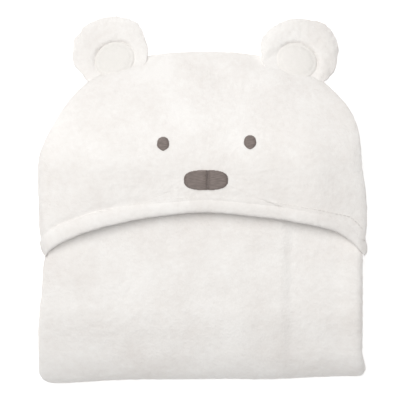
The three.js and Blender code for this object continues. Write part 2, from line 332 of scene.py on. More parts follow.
def make_plush(name, light, dark, tuft_mm, fibre_mm, depth_mm):
    """Pile cloth in two close tones, in tufts with finer fibres on them."""
    material, tree, output = new_material(name)
    place = add_node(tree, "ShaderNodeTexCoord").outputs["Object"]
    kind = "ShaderNodeTexNoise"
    tufts = add_node(tree, kind, Vector=place, Scale=1 / (tuft_mm * MM), Detail=3.0, Roughness=0.6)
    fibres = add_node(tree, kind, Vector=place, Scale=1 / (fibre_mm * MM), Detail=4.0, Roughness=0.7)
    clouds = add_node(tree, kind, Vector=place, Scale=1 / (CLOUD_MM * MM), Detail=2.0)
    # The tone is darker where the tufts are low, which is painted shade between the tufts, and it drifts
    # slowly over the cloth as brushed pile does.
    both = add_node(tree, "ShaderNodeMath", {"operation": "MULTIPLY_ADD"})
    tree.links.new(tufts.outputs["Fac"], both.inputs[0])
    both.inputs[1].default_value = 0.65
    tree.links.new(clouds.outputs["Fac"], both.inputs[2])
    tone = add_node(tree, "ShaderNodeMapRange", Value=both.outputs[0])
    tone.inputs["From Min"].default_value = 0.55
    tone.inputs["From Max"].default_value = 1.05
    height = tufts.outputs["Fac"]
    coarse = add_node(tree, "ShaderNodeBump", Height=height, Strength=0.55, Distance=depth_mm * MM)
    fine = add_node(
        tree,
        "ShaderNodeBump",
        Height=fibres.outputs["Fac"],
        Strength=0.8,
        Distance=0.5 * depth_mm * MM,
        Normal=coarse.outputs[0],
    )
    shade = add_node(
        tree,
        "ShaderNodeBsdfPrincipled",
        Base_Color=two_tones(tree, tone.outputs[0], dark, light),
        Roughness=0.92,
        Sheen_Weight=0.3,
        Sheen_Roughness=0.45,
        Normal=fine.outputs[0],
    )
    shade.inputs["Specular IOR Level"].default_value = 0.15
    tree.links.new(shade.outputs[0], output.inputs["Surface"])
    return material


# Undyed coral fleece: warm off-white, with no highlights, and tufts that shade each other.
plush = make_plush("coral_fleece", "#f8f6f4", "#eeeae7", tuft_mm=5.5, fibre_mm=2.2, depth_mm=1.1)
# Short pile: a touch greyer and finer, which sets the ear's disc apart from its rim.
lining = make_plush("short_pile_lining", "#f3f0ed", "#eceae6", tuft_mm=3.0, fibre_mm=0.8, depth_mm=0.6)
print("two pile cloths")


# %% The threads
def make_thread(name, light, dark, roughness, twist_mm, streak):
    """Spun thread: a close tone with a fine twist, drawn out along X, and a soft sheen. The tone is lighter
    on the twist's ridges and darker in its grooves, which is painted highlight and shade.
    """
    material, tree, output = new_material(name)
    place = add_node(tree, "ShaderNodeTexCoord").outputs["Object"]
    along = add_node(tree, "ShaderNodeMapping", Vector=place, Scale=(1 / streak, 1.0, 1.0))
    twist = add_node(
        tree, "ShaderNodeTexNoise", Vector=along.outputs[0], Scale=1 / (twist_mm * MM), Detail=2.0
    )
    bump = add_node(tree, "ShaderNodeBump", Height=twist.outputs["Fac"], Strength=0.4, Distance=0.15 * MM)
    shade = add_node(
        tree,
        "ShaderNodeBsdfPrincipled",
        Base_Color=two_tones(tree, twist.outputs["Fac"], dark, light),
        Roughness=roughness,
        Sheen_Weight=0.15,
        Normal=bump.outputs[0],
    )
    tree.links.new(shade.outputs[0], output.inputs["Surface"])
    return material


# Grey-brown viscose: it shines softly, and its tone runs lighter and darker in streaks along the thread,
# which is painted highlight and shade, so the rows of satin stitch can be told.
embroidery = make_thread("viscose_embroidery_thread", "#a39690", "#4f4543", 0.5, twist_mm=0.7, streak=7.0)
# Matt polyester in nearly the plush's own tone, so that the row shows as a faint dotted line.
sewing = make_thread("polyester_sewing_thread", "#f6f4f1", "#ebe7e3", 0.65, twist_mm=0.4, streak=1.0)
print("two threads")

# %% [markdown]
# ## The folded sheet
# On the real towel a cloth 760 mm wide is folded in three across its width: the left side goes
# straight behind the middle, and the right side goes behind that. The folded strip is then rolled
# flat. A solid block would show none of that from the side, so the cloth is made as it is folded:
# a flat grid whose columns follow the strip's cross-section and whose rows follow the roll, and
# which gets its thickness from Solidify. The free edge of the left side ends 76 mm right of the
# middle, and past it the middle ply has less under it and sags, which shows as a soft crease.

# %% The strip's cross-section
PLY = 4.0
PLY_PITCH = (SECTION - PLY) / 2
LEFT_SIDE_END = 76.0
RIGHT_SIDE_END = -76.0
FOLD_STEPS = 10


def half_turn(centre_x, centre_depth, radius, side):
    """Points round a fold at the strip's edge, from its upper ply to its lower one."""
    angles = np.linspace(0, math.pi, FOLD_STEPS + 1)
    x = centre_x + side * radius * np.sin(angles)
    depth = centre_depth - radius * np.cos(angles)
    return np.stack([x, depth], axis=1)


def run(start_x, end_x, depth, step):
    """Points along a straight ply, without its last one."""
    count = max(2, int(round(abs(end_x - start_x) / step)))
    x = np.linspace(start_x, end_x, count + 1)[:-1]
    return np.stack([x, np.full(count, depth)], axis=1)


def strip_section(step):
    """(x, depth) from the left side's free edge, round the middle, to the right side's."""
    top = PLY / 2
    left_radius = PLY_PITCH / 2
    right_radius = PLY_PITCH
    left_x = -(HALF_WIDTH - top - left_radius)
    right_x = HALF_WIDTH - top - right_radius
    left_fold = half_turn(left_x, top + left_radius, left_radius, -1)[::-1]
    right_fold = half_turn(right_x, top + right_radius, right_radius, 1)
    return np.concatenate(
        [
            run(LEFT_SIDE_END, left_x, top + PLY_PITCH, 4 * step),
            left_fold[:-1],
            run(left_x, right_x, top, step),
            right_fold[:-1],
            run(right_x, RIGHT_SIDE_END, top + 2 * PLY_PITCH, 4 * step),
            [[RIGHT_SIDE_END, top + 2 * PLY_PITCH]],
        ]
    )


section = strip_section(3.0)
flat_width = np.linalg.norm(np.diff(section, axis=0), axis=1).sum()
print(f"the folded strip is {flat_width:.0f} mm wide when it is opened out")


# %% The roll's side view
def straight(start, end, z, facing, step):
    """(y, z, normal y, normal z) along a flat stretch whose outside is at height z."""
    count = max(2, int(round(abs(end - start) / step)))
    y = np.linspace(start, end, count + 1)
    return np.stack([y, np.full_like(y, z), np.zeros_like(y), np.full_like(y, facing)], axis=1)


def bend(centre_y, centre_z, radius, start, end, step):
    """The same round a fold. Angles are in degrees, and 90 is up."""
    count = max(8, int(round(math.radians(abs(end - start)) * radius / step)))
    angles = np.radians(np.linspace(start, end, count + 1))
    c, s = np.cos(angles), np.sin(angles)
    return np.stack([centre_y + radius * c, centre_z + radius * s, c, s], axis=1)


def joined(*stretches):
    """One run of stations, with the shared ends left out."""
    return np.concatenate([stretches[0]] + [stretch[1:] for stretch in stretches[1:]])


CUT = 46.0
roll_stations = joined(
    straight(TAIL_END, BOTTOM_RADIUS, TAIL_Z, -1, 6),
    bend(BOTTOM_RADIUS, BOTTOM_RADIUS, BOTTOM_RADIUS - TAIL_Z, 270, 90, 3),
    straight(BOTTOM_RADIUS, TOP_Y, inner_high[2], 1, 6),
    bend(TOP_Y, TOP_RADIUS, TOP_RADIUS, 90, -90, 3),
    straight(TOP_Y, CUT, 0, -1, 4),
)
fold_stations = joined(
    straight(CUT, BOTTOM_RADIUS, 0, -1, 3),
    bend(BOTTOM_RADIUS, BOTTOM_RADIUS, BOTTOM_RADIUS, 270, 90, 3),
    straight(BOTTOM_RADIUS, CUT, BUNDLE_TOP, 1, 3),
)
front_stations = straight(CUT, NECK_SEAM, BUNDLE_TOP, 1, 3)


def path_length(stations):
    """The length of cloth along a run of stations."""
    return np.linalg.norm(np.diff(stations[:, :2], axis=0), axis=1).sum()


total = sum(path_length(stations) for stations in (roll_stations, fold_stations, front_stations))
print(f"the sheet is {total:.0f} mm long when it is unrolled")

# %% [markdown]
# Pressed cloth is never quite flat. A slow noise lifts and lowers the plies by about a
# millimetre, the sag past the left side's free edge makes the crease, and the two corners at the
# bottom fold are rounded and sit a little unevenly, as hand-folded ones do.


# %% Lay the strip along the roll
CORNERS = {"left": 11.5, "right": 9.0}
TOP_CORNER = 14.0
CREASE_DEPTH = 2.3
BOTTOM_DROP = 2.8
LEFT_DROP = 3.7
RIGHT_LIFT = 3.2
RIGHT_IN = 4.2
RIGHT_CORNER_OUT = 5.0
LEFT_OUT = 1.5
LEFT_LOW_IN = 5.0
PINCH = 2.5
TOP_SQUEEZE = 0.065
PRESSED = 16.0
FULLER = 2.0
LEAST_GAP = 0.5


def slow_noise(points, size_mm):
    """Noise between -1 and 1 that changes over about size_mm, the same on each run."""
    flat = points.reshape(-1, 3) / size_mm
    values = [noise.noise(Vector(point)) for point in flat]
    return np.array(values).reshape(points.shape[:-1])


def corner_inset(x, radius):
    """How far a rounded corner of the strip stands back at x."""
    past = np.clip(np.abs(x) - (HALF_WIDTH - radius), 0, 0.97 * radius)
    return radius - np.sqrt(radius**2 - past**2)


def folded(stations, on_front):
    """The strip's cross-section carried along the stations. on_front shows the crease and sag."""
    x = np.broadcast_to(section[None, :, 0], (len(stations), len(section))).copy()
    depth = np.broadcast_to(section[None, :, 1], x.shape).copy()
    y, z, normal_y, normal_z = (stations[:, i][:, None] for i in range(4))
    if on_front:
        over_gap = smooth_step(x, LEFT_SIDE_END - 5, LEFT_SIDE_END + 7) * (1 - smooth_step(x, 124, 146))
        level = smooth_step(normal_z, -0.2, 0.9)
        depth += np.where(depth < PLY, CREASE_DEPTH * over_gap * level, 0)
    points = np.stack([x, y - normal_y * depth, z - normal_z * depth], axis=2)
    px, py, pz = np.moveaxis(points, 2, 0)

    # The corners at both folds are round, and the bottom fold hangs lower at the left.
    corner = np.where(x < 0, CORNERS["left"], CORNERS["right"])
    at_bottom = np.clip(-normal_y, 0, 1)
    py += corner_inset(x, corner) * at_bottom
    py -= corner_inset(x, TOP_CORNER) * np.clip(normal_y, 0, 1)
    side = px / HALF_WIDTH
    drop = BOTTOM_DROP + LEFT_DROP * smooth_step(-side, 0.3, 1.0) - RIGHT_LIFT * smooth_step(side, 0.3, 1.0)
    py -= drop * at_bottom

    # The sides run a little in and out, and are pinched under the hood's left corner.
    right_shift = -RIGHT_IN + RIGHT_CORNER_OUT * (1 - smooth_step(py, 2, 26))
    px += right_shift * smooth_step(side, 0.2, 1)
    px += PINCH * bell(py, 114, 9) * smooth_step(-side, 0.5, 1)
    if on_front:
        left_shift = LEFT_OUT - LEFT_LOW_IN * (1 - smooth_step(py, 40, 105))
        px += left_shift * smooth_step(-side, 0.2, 1) * smooth_step(z, 20, 40)
    px *= 1 - TOP_SQUEEZE * smooth_step(py, 166, 222)

    # The bundle is pressed thin at the bottom fold and is fullest in the middle.
    pressed = PRESSED * (1 - smooth_step(py, -6, 66))
    fuller = FULLER * smooth_step(py, 50, 110) * (1 - smooth_step(py, 158, 176))
    pz *= 1 + (fuller - pressed) / BUNDLE_TOP
    lift = 0.9 * slow_noise(points + 31.0, 55) + 0.5 * slow_noise(points, 24)
    lift = lift * smooth_step(pz, 1.0, 30.0)
    py += normal_y * lift
    pz += normal_z * lift
    np.maximum(pz, PLY / 2 + LEAST_GAP, out=pz)
    return points


# %% [markdown]
# Coral fleece has a lively surface, so its tufts are real relief: Displace moves each point of
# the sheet along its normal by a cloud texture with tufts of about 6 mm. It is done on the bare
# sheet, before Solidify, so two sheets that meet at a cut keep exactly the same edge.

# %% Raise the pile and give the sheets their thickness
PILE = bpy.data.textures.new("pile_tufts", "CLOUDS")
PILE.noise_scale = 5.0 * MM
PILE.noise_depth = 2


def raise_pile(piece, height_mm=0.9):
    """Lifts tufts of pile out of a plush piece."""
    use(piece, "DISPLACE", texture=PILE, texture_coords="LOCAL", strength=height_mm * MM, mid_level=0.5)


def finish_plush(piece, material, angle=50):
    """Smooth shading with sharp cut edges, and the piece's material."""
    only(piece)
    bpy.ops.object.shade_smooth_by_angle(angle=math.radians(angle))
    piece.data.materials.clear()
    piece.data.materials.append(material)
    print(piece.name, triangles(piece), "triangles")


def make_plush_ply(piece, material, ply_mm, offset=-1.0, pile_mm=0.9):
    """Turns a bare sheet into a ply of plush. offset is 0 about the sheet, and -1 all below it."""
    raise_pile(piece, pile_mm)
    use(piece, "SOLIDIFY", thickness=ply_mm * MM, offset=offset)
    finish_plush(piece, material)


def make_sheet(name, stations, on_front):
    """One stretch of the folded sheet."""
    piece = grid_sheet(name, folded(stations, on_front))
    make_plush_ply(piece, plush, PLY - 0.3, offset=0.0)
    return piece


rolled_sheet = make_sheet("rolled_sheet", roll_stations, False)

# %% [markdown]
# The front of the towel belongs to two joints: it unfolds over the bottom fold, and the hood folds
# up over it. So it is made as one sheet and then parted where it lies flat between the two. Each
# open end is filled, because a piece of cloth is a closed solid.


# %% Part the front sheet
def part_at_cut(piece, name):
    """Parts off what lies past the cut on the front, and closes both ends."""
    open_mesh(piece, "FACE")
    bpy.ops.object.mode_set(mode="OBJECT")
    cut_y = to_frame((0, CUT, 0))[1]
    for polygon in piece.data.polygons:
        place = polygon.center
        polygon.select = bool(place.y > cut_y and place.z > BOTTOM_RADIUS * MM)
    bpy.ops.object.mode_set(mode="EDIT")
    bpy.ops.mesh.separate(type="SELECTED")
    bpy.ops.object.mode_set(mode="OBJECT")
    parted = next(o for o in bpy.context.selected_objects if o is not piece)
    rename(parted, name)
    for half in (piece, parted):
        close_end(half)
        finish_plush(half, plush)
    return parted


def close_end(half):
    """Bridges the outside of the cloth to its inside along an open end."""
    open_mesh(half, "EDGE")
    bpy.ops.mesh.select_non_manifold()
    bpy.ops.object.mode_set(mode="OBJECT")
    free_edges = (LEFT_SIDE_END * MM, RIGHT_SIDE_END * MM)
    for edge in half.data.edges:
        a, b = (half.data.vertices[i].co for i in edge.vertices)
        upright = abs(a.z - b.z) > abs(a.x - b.x)
        if upright and min(abs(a.x - place) for place in free_edges) < 4 * MM:
            edge.select = False
    bpy.ops.object.mode_set(mode="EDIT")
    bpy.ops.mesh.bridge_edge_loops()
    close_mesh()


bottom_fold_sheet = make_sheet("bottom_fold_sheet", joined(fold_stations, front_stations), True)
front_sheet = part_at_cut(bottom_fold_sheet, "front_sheet")

# %% [markdown]
# ## The hood's shape
# The hood is two plush panels, sewn round the head and turned right side out, so its edge is
# round and the seam runs along the middle of that edge. Both panels share one outline, which is a
# squarish ellipse, and each is a fan of rings about a middle point. Rings suit a shape like this:
# they follow the outline, and they can be set close together where the edge turns over.


# %% Outline and height
FACE_SETBACK = 4.0
FACE_LIFT = 7.0
POCKET_GAP = 0.4
BACK_PLY = 4.0
CROWN_FLOOR = back_low[2] + BACK_PLY
CROWN_POCKET = 5.5


def floor_height(y):
    """The pocket's floor: the sheet, then the back panel, which drops over the bundle."""
    on_bundle = inner_high[2] + POCKET_GAP + BACK_PLY
    step = (BUNDLE_TOP - on_bundle) * (1 - smooth_step(y, NECK_SEAM, NECK_SEAM + 22))
    drop = (on_bundle - CROWN_FLOOR) * smooth_step(y, TOP_Y, CROWN + 4)
    return on_bundle + step - drop


def ceiling_height(y):
    """The face panel's underside."""
    drop = (CEILING - CROWN_FLOOR - CROWN_POCKET) * smooth_step(y, TOP_Y - 16, CROWN + 6)
    return CEILING - drop


def side_at(y):
    """Half the head's width at a height, below its widest place."""
    t = np.clip((HEAD_WIDEST - y) / (HEAD_WIDEST - MOUTH_CORNER), 0, 1)
    return HEAD_HALF_WIDTH - 6.0 * t * t


MOUTH_LIFTS = [(40, 0), (89, 2.6), (112, 5.2), (124, 6.8), (132, 6.4), (140, 3.6), (147, 0)]
soften = np.hanning(21) / np.hanning(21).sum()
lift_places = np.linspace(-150, 150, 301)
lift_values = np.interp(lift_places, *zip(*MOUTH_LIFTS), left=0, right=0)
lift_values = np.convolve(lift_values, soften, mode="same")


def mouth_lift(x):
    """How far the mouth stands above an even arch: it is boxier on the right."""
    return np.interp(x, lift_places, lift_values)


def mouth_height(x):
    """The y of the mouth's arch."""
    share = np.clip(np.abs(x) / MOUTH_HALF_WIDTH, 0, 1)
    return MOUTH_CORNER + MOUTH_RISE * (1 - share**MOUTH_POWER) ** (1 / MOUTH_POWER) + mouth_lift(x)


def face_edge(x):
    """Where the face panel ends, under the hem. It has no hollow, so every ray meets it once."""
    return mouth_height(x) - mouth_lift(x) + FACE_SETBACK + FACE_LIFT * smooth_step(x, 40, 112)


def head_reach(angle, middle_y):
    """How far the head's outline is from the fan's middle point in a direction."""
    c, s = math.cos(angle), math.sin(angle)
    near, far = 0.0, 400.0
    for _ in range(40):
        reach = (near + far) / 2
        x, y = abs(reach * c), middle_y + reach * s
        if y >= HEAD_WIDEST:
            within = (x / HEAD_HALF_WIDTH) ** HEAD_POWER + ((y - HEAD_WIDEST) / HEAD_RISE) ** HEAD_POWER < 1
        else:
            within = x < side_at(y)
        inside = within and y > face_edge(reach * c)
        near, far = (reach, far) if inside else (near, reach)
    return near


def edge_distance(x, y):
    """About how far a point is from the head's outline, not counting the mouth."""
    upper = np.maximum(y - HEAD_WIDEST, 0) / HEAD_RISE
    scale = ((np.abs(x) / HEAD_HALF_WIDTH) ** HEAD_POWER + upper**HEAD_POWER) ** (1 / HEAD_POWER)
    radius = np.hypot(x, np.maximum(y - HEAD_WIDEST, 0)) / np.maximum(scale, 1e-6)
    above = (1 - scale) * radius
    beside = side_at(y) - np.abs(x)
    return np.where(y > HEAD_WIDEST, above, beside)


# %% The two surfaces
EDGE_ROUND = {"left": 20.0, "right": 60.0, "back": 13.0}
FAN_EDGE = 13.0
PUFF = 5.5
PUFF_REACH = 62.0
MOUTH_SAG = 2.0
SHADE_FROM = 20.0
SHADE_TO = 140.0
LEFT_CHEEK = 4.0
RIGHT_SLIM = 3.0
RIGHT_HOLLOW = 1.8
RIGHT_SHOULDER = 6.5
RIGHT_CORNER = 6.5


def rounding(distance, width):
    """0 inside the edge, and 1 where the panel has turned down to the seam."""
    t = np.clip(1 - distance / width, 0, 1)
    return 1 - np.sqrt(1 - t * t)


def seam_height(y):
    """The edge seam lies on the sheet beside the mouth, and is half way between the panels above it."""
    sewn = smooth_step(y, NECK_SEAM - 10, NECK_SEAM + 24)
    return (BUNDLE_TOP + 1.0) * (1 - sewn) + ((ceiling_height(y) + floor_height(y)) / 2 - 1.0) * sewn


def crease(x, y, start, end, width, depth):
    """A soft valley along a line from start to end."""
    a, b = np.array(start), np.array(end)
    along = b - a
    t = np.clip(((x - a[0]) * along[0] + (y - a[1]) * along[1]) / (along @ along), 0, 1)
    gap = np.hypot(x - a[0] - t * along[0], y - a[1] - t * along[1])
    return -depth * bell(gap, 0, width) * np.sin(math.pi * np.clip(t, 0.08, 0.92))


# Each valley has a start, an end, a width and a depth.
CREASES = [
    ((-8, 286), (30, 281), 6, 1.3),
    ((2, 270), (36, 274), 7, 0.9),
    ((-112, 232), (-90, 252), 7, 1.0),
    ((62, 262), (108, 246), 9, 1.0),
    ((96, 146), (102, 118), 6, 1.4),
    ((-60, 172), (-122, 152), 9, 0.9),
]


def face_top(x, y):
    """The height of the face panel's upper side."""
    x, y = np.asarray(x, float), np.asarray(y, float)
    distance = edge_distance(x, y)
    puff = PUFF * smooth_step(distance, 0, PUFF_REACH)
    puff -= MOUTH_SAG * (1 - smooth_step(y - mouth_height(x), 0, 80))
    to_right = smooth_step(x, SHADE_FROM, SHADE_TO)
    width = EDGE_ROUND["left"] + (EDGE_ROUND["right"] - EDGE_ROUND["left"]) * to_right
    top = ceiling_height(y) + FACE_PLY + puff
    height = top - (top - seam_height(y)) * rounding(distance, width)
    for start, end, width, depth in CREASES:
        height = height + crease(x, y, start, end, width, depth)
    return height


def back_under(x, y):
    """The height of the back panel's lower side."""
    x, y = np.asarray(x, float), np.asarray(y, float)
    under = floor_height(y) - PLY
    lift = rounding(edge_distance(x, y), EDGE_ROUND["back"]) * smooth_step(y, NECK_SEAM - 5, NECK_SEAM + 8)
    return under + (seam_height(y) - under) * lift


def plump(points):
    """Pushes the left cheek out and shapes the right side, because sewn sides never match."""
    x, y = points[:, :, 0].copy(), points[:, :, 1]
    points[:, :, 0] -= LEFT_CHEEK * bell(y, 205, 26) * smooth_step(-x, 80, 150)
    inward = RIGHT_SLIM + RIGHT_HOLLOW * bell(y, 195, 24)
    inward -= RIGHT_SHOULDER * smooth_step(y, 195, 255)
    inward -= RIGHT_CORNER * (1 - smooth_step(y, 112, 132))
    points[:, :, 0] -= inward * smooth_step(x, 60, 150)
    return points


# %% [markdown]
# The face panel ends at the mouth, where the cloth is turned under as a hem. The panel's upper
# surface dips a little along the line of stitches that holds the hem, so that the hem stands out
# as a soft roll.

# %% Build the fans
DIRECTIONS = 400
FACE_MIDDLE = 188.0
BACK_MIDDLE = 242.0
TUCK = 3.4


def fan(middle_y, reach_of, inner_rings, edge_rings, edge_width):
    """Rings of points about (0, middle_y), closer together near the outline."""
    angles = np.linspace(0, 2 * math.pi, DIRECTIONS + 1)
    reach = np.array([reach_of(angle, middle_y) for angle in angles])
    turn = np.linspace(0, math.pi / 2, edge_rings + 1)[1:]
    rows = [reach * t * (1 - edge_width / reach) for t in np.linspace(0, 1, inner_rings + 1)]
    rows += [reach - edge_width * (1 - np.sin(t)) for t in turn]
    distance = np.array(rows)
    return distance * np.cos(angles), middle_y + distance * np.sin(angles)


def fan_area(x, y):
    """The area inside the outline of a fan, in square millimetres."""
    x, y = x[-1], y[-1]
    return abs(0.5 * np.sum(x[:-1] * y[1:] - x[1:] * y[:-1]))


def at_left(x):
    """1 at the left, where the hem stands out most, and 0 from the middle on."""
    return 1 - smooth_step(x, -110, -25)


def hem_dip(x, y):
    """The dip along the hem's stitches, which is deep only at the left, and the tuck below it."""
    above = y - mouth_height(x)
    dip = (0.3 + 2.2 * at_left(x)) * bell(above, HEM_WIDTH, 5.0)
    return dip + TUCK * (1 - smooth_step(above, 3, HEM_WIDTH - 1))


def ripple(points):
    """The slow unevenness that the face panel and its hem share."""
    wave = 0.8 * slow_noise(points + 7.0, 60) + 0.45 * slow_noise(points, 26)
    points[:, :, 2] += wave * smooth_step(edge_distance(points[:, :, 0], points[:, :, 1]), 0, 12)
    return points


x, y = fan(FACE_MIDDLE, head_reach, 56, 10, FAN_EDGE)
face_points = ripple(np.stack([x, y, face_top(x, y) - hem_dip(x, y)], axis=2))
hood_face = grid_sheet("hood_face", plump(face_points), closed=True)
face_area = fan_area(x, y)
face_flat = (np.ptp(x), np.ptp(y))
print(f"face panel {face_flat[0]:.0f} x {face_flat[1]:.0f} mm, {face_area / 1e6:.4f} square metres")

make_plush_ply(hood_face, plush, FACE_PLY - 1.0)

# %% [markdown]
# The back panel is the same kind of fan, seen from below. It starts at the sheet's top edge,
# where it is sewn on, so its outline is cut straight there.


# %% Back panel
def back_reach(angle, middle_y):
    """The head's outline, cut off at the neck seam."""
    reach = head_reach(angle, middle_y)
    s = math.sin(angle)
    if s < 0:
        reach = min(reach, (middle_y - NECK_SEAM - 0.5) / -s)
    return reach


x, y = fan(BACK_MIDDLE, back_reach, 30, 8, FAN_EDGE)
back_points = np.stack([x, y, back_under(x, y)], axis=2)
back_area = fan_area(x, y)
back_flat = (np.ptp(x), np.ptp(y))
hood_back = grid_sheet("hood_back", plump(back_points)[:, ::-1], closed=True)
make_plush_ply(hood_back, plush, PLY - 0.6)

# %% [markdown]
# ## The hem
# At the opening the plush is turned under and stitched down, so the edge is a soft roll about
# 15 mm wide and twice the cloth's thickness. It could be a ring swept along the mouth's arch, but
# a ring turns with the arch and flares at its ends. So it is a band between a lower and an upper
# edge that follows the face panel's height, with a flattened ring across it, and it ends rounded
# at the hood's corners.


# %% Hem roll
HEM_THICK = 8.0
HEM_STEPS = 260
HEM_SIDES = 28
RING_POWER = 0.8
END_STEPS = 5
CORNER_SHARE = 1.027
CORNER_BULGE = 3.5
CORNER_INSET = 2.5
CORNER_SPAN = (138, 147)
END_THICK = 0.25
MOST_RISE = 1.2
HEM_RIDGE = 0.9
HEM_SINK = 1.4


def arch_line(count):
    """Evenly spaced points along the mouth's arch."""
    angles = np.linspace(math.pi, 0, 4 * count)
    c, s = np.cos(angles), np.sin(angles)
    x = MOUTH_HALF_WIDTH * squarish(c, 2 / MOUTH_POWER)
    y = MOUTH_CORNER + MOUTH_RISE * np.abs(s) ** (2 / MOUTH_POWER)
    length = np.concatenate([[0], np.cumsum(np.hypot(np.diff(x), np.diff(y)))])
    even = np.linspace(0, length[-1], count)
    return np.stack([np.interp(even, length, x), np.interp(even, length, y)], axis=1)


lower_edge = arch_line(HEM_STEPS)
lower_edge[:, 1] += mouth_lift(lower_edge[:, 0])
slope = np.gradient(lower_edge[:, 1]) / np.maximum(np.gradient(lower_edge[:, 0]), 1e-6)
rise = np.clip(HEM_WIDTH * np.sqrt(1 + slope**2), HEM_WIDTH, MOST_RISE * HEM_WIDTH)
upper_edge = lower_edge * np.array([CORNER_SHARE, 1.0])
upper_edge[:, 1] += rise
lower_edge[:, 0] -= CORNER_INSET * smooth_step(lower_edge[:, 0], *CORNER_SPAN)
from_end = np.minimum(np.arange(HEM_STEPS), np.arange(HEM_STEPS)[::-1])
ended = np.sin(np.clip(from_end / END_STEPS, 0, 1) * math.pi / 2)
turn = np.linspace(0, 2 * math.pi, HEM_SIDES + 1)
across = squarish(np.cos(turn), RING_POWER)
upright = squarish(np.sin(turn), RING_POWER)
share = (across[None, :] + 1) / 2
hem_points = np.empty((HEM_STEPS, HEM_SIDES + 1, 3))
for i in range(2):
    hem_points[:, :, i] = lower_edge[:, None, i] * (1 - share) + upper_edge[:, None, i] * share
bulge = CORNER_BULGE * (1 - ended[:, None]) * (4 * share * (1 - share)) ** 0.7
hem_points[:, :, 0] += np.sign(lower_edge[:, 0])[:, None] * bulge
shut = (END_THICK + (1 - END_THICK) * ended)[:, None]
level = face_top(hem_points[:, :, 0], hem_points[:, :, 1])
left_ridge = HEM_RIDGE * at_left(lower_edge[:, 0])[:, None]
sink = HEM_SINK * smooth_step(share, 0.6, 1.0) * (1 - left_ridge)
hem_points[:, :, 2] = level - HEM_THICK / 2 + 0.2 + left_ridge - sink
hem_points[:, :, 2] += HEM_THICK / 2 * shut * upright
hood_hem = grid_sheet("hood_hem_roll", plump(ripple(hem_points)), closed=True)
open_mesh(hood_hem, "EDGE")
bpy.ops.mesh.select_non_manifold()
bpy.ops.mesh.fill()
close_mesh()
raise_pile(hood_hem)
finish_plush(hood_hem, plush, 80)

# %% [markdown]
# A straight seam holds the hem down. Each stitch comes up, lies on the cloth and goes down again,
# so it is a small arched thread, and the row is the same thread copied along the hem's upper edge.


# %% Threads
THREAD_SIDES = 6
THREAD_CUTS = 7


def thread_pattern():
    """One straight thread 1 long on X and 1 in radius, with rings along it."""
    bpy.ops.object.select_all(action="DESELECT")
    along_x = (0, math.pi / 2, 0)
    bpy.ops.mesh.primitive_cylinder_add(vertices=THREAD_SIDES, radius=1, depth=1, rotation=along_x)
    pattern = bpy.context.object
    bpy.ops.object.transform_apply(rotation=True)
    mesh = pattern.data
    open_mesh(pattern, "EDGE")
    bpy.ops.object.mode_set(mode="OBJECT")
    for edge in mesh.edges:
        ends = [mesh.vertices[i].co.x for i in edge.vertices]
        edge.select = abs(ends[0] - ends[1]) > 0.5
    bpy.ops.object.mode_set(mode="EDIT")
    bpy.ops.mesh.subdivide(number_cuts=THREAD_CUTS)
    bpy.ops.object.mode_set(mode="OBJECT")
    bpy.ops.object.shade_smooth()
    return pattern


def sew(name, threads, material):
    """Copies of the pattern, each laid from start to end with its radius and rise, as one piece."""
    pattern = thread_pattern()
    along_u, side_v, up_w = coordinates(pattern).T[:, :, None]
    along_u = 0.5 * np.sin(math.pi * along_u)
    taper = np.sqrt(np.clip(1 - np.abs(2 * along_u) ** 6, 0.1, 1))
    copies = []
    for start, end, radius, rise in threads:
        start, end = np.array(start), np.array(end)
        along = end - start
        sideways = np.cross(along, (0, 0, 1.0))
        sideways /= np.linalg.norm(sideways)
        points = (start + end) / 2 + along * along_u + sideways * radius * taper * side_v
        points[:, 2:] += radius * taper * up_w + rise * (1 - (2 * along_u) ** 8)
        copy = bpy.data.objects.new(name, pattern.data.copy())
        place_points(copy, to_frame(points))
        bpy.context.scene.collection.objects.link(copy)
        copies.append(copy)
    bpy.data.objects.remove(pattern)
    bpy.ops.object.select_all(action="DESELECT")
    for copy in copies:
        copy.select_set(True)
    bpy.context.view_layer.objects.active = copies[0]
    bpy.ops.object.join()
    piece = bpy.context.object
    piece.data.materials.append(material)
    print(name, len(threads), "threads,", triangles(piece), "triangles")
    return piece


# %% Hem stitches
STITCH = 3.0
STITCH_PITCH = 4.0
STITCH_RADIUS = 0.3
STITCH_RISE = 0.35
STITCH_SUNK = 0.5
BELOW_EDGE = 0.6
stitch_line = upper_edge[6:-6] - np.array([0, BELOW_EDGE])
length = np.concatenate([[0], np.cumsum(np.linalg.norm(np.diff(stitch_line, axis=0), axis=1))])


def on_stitch_line(distance):
    """A place along the row of stitches, on the cloth."""
    x, y = (float(np.interp(distance, length, stitch_line[:, i])) for i in range(2))
    return x, y, float(face_top(x, y) - hem_dip(x, y) - STITCH_SUNK)


starts = np.arange(1.0, length[-1] - STITCH, STITCH_PITCH)
stitches = [(on_stitch_line(s), on_stitch_line(s + STITCH), STITCH_RADIUS, STITCH_RISE) for s in starts]
hem_stitches = sew("hem_stitches", stitches, sewing)

# %% [markdown]
# ## The embroidered face
# The eyes and the nose are satin stitch: threads laid side by side right across the shape, over
# a low pad of thread that makes it stand up. The nose is worked in two halves that meet near the
# middle, where a fine line shows. Each thread is modelled, because the light runs along it. The
# whole face is sewn a little to the right of the middle, as hand-placed embroidery often is.

# %% Satin stitch
THREAD_PITCH = 0.5
THREAD_RADIUS = 0.36
PAD_HEIGHT = 1.1
FACE_SHIFTS = {"eye_left": (1.9, -0.8), "eye_right": (1.9, 0.7), "nose": (1.3, 0.0)}
NOSE_PARTING = 1.6
PARTING_GAP = 0.3
PARTING_DEPTH = 0.9
PARTING_WIDTH = 1.1
PAD_INSET = 0.3
UNEVEN_ENDS = 0.6


def patch_size(node):
    """The middle and the half sizes of an embroidered patch."""
    low, high = box_mm(node)
    middle = (low + high)[:2] / 2 + np.array(FACE_SHIFTS[node])
    return middle, (high - low)[:2] / 2


